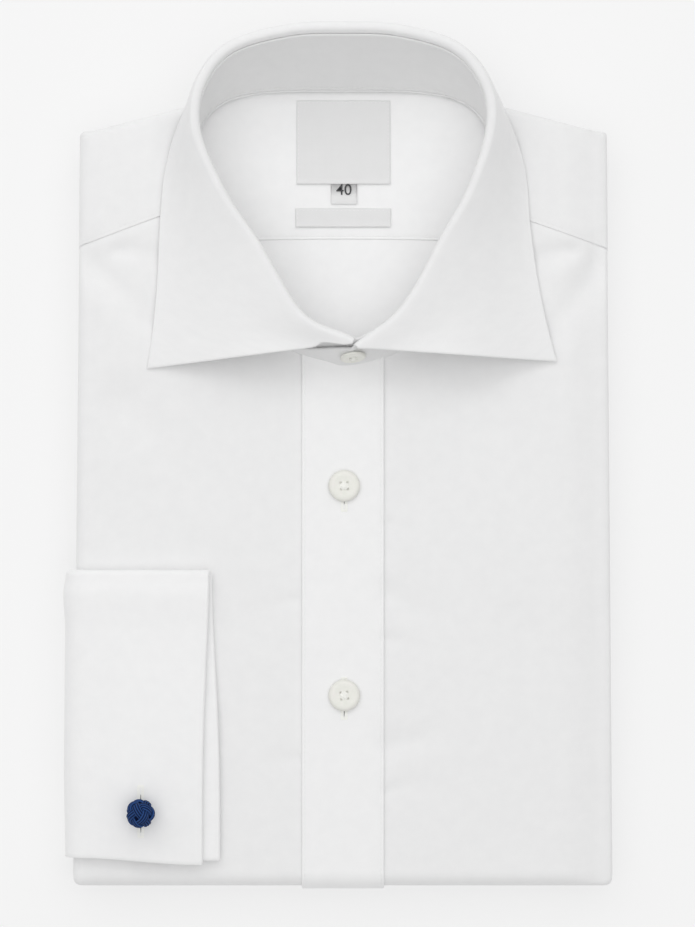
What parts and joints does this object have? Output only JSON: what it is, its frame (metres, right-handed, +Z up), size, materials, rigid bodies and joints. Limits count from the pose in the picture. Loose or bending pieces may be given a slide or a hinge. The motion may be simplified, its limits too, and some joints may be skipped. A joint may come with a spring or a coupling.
{
  "type": "folded long sleeve dress shirt",
  "caption": "Plain white long sleeve dress shirt, folded flat for display, with a spread collar standing up, a front placket and a double cuff closed by a silk knot link.",
  "frame": {"origin": "on the underside the shirt rests on, at the middle of its plan box", "axes": "+Z up through the layers, out of the shirt's front; +Y from the hem fold to the collar; +X to the viewer's right, which is the wearer's left side"},
  "size_m": [0.2357, 0.3714, 0.0487],
  "materials": {
    "white_poplin": "fine plain-woven cotton poplin, pressed, matt with a slight sheen on the folds",
    "label_tape": "pale woven satin tape, bare but for a plain size number",
    "button_shell": "ivory pearl resin, polished",
    "navy_silk": "braided navy cord with a soft sheen"
  },
  "bodies": {
    "root": {"folded_layers": "white_poplin", "right_front": "white_poplin", "left_front": "white_poplin", "front_placket": "white_poplin", "yoke": "white_poplin", "inner_yoke": "white_poplin", "inner_back": "white_poplin", "collar_band": "white_poplin", "collar_leaf": "white_poplin", "cuff": "white_poplin", "sleeve": "white_poplin", "main_label": "label_tape", "size_tab": "label_tape", "lower_label": "label_tape", "front_button_1": "button_shell", "front_button_2": "button_shell", "collar_button": "button_shell", "silk_knot_over": "navy_silk", "silk_knot_under": "navy_silk", "link_elastic": "navy_silk"}
  },
  "joints": []
}
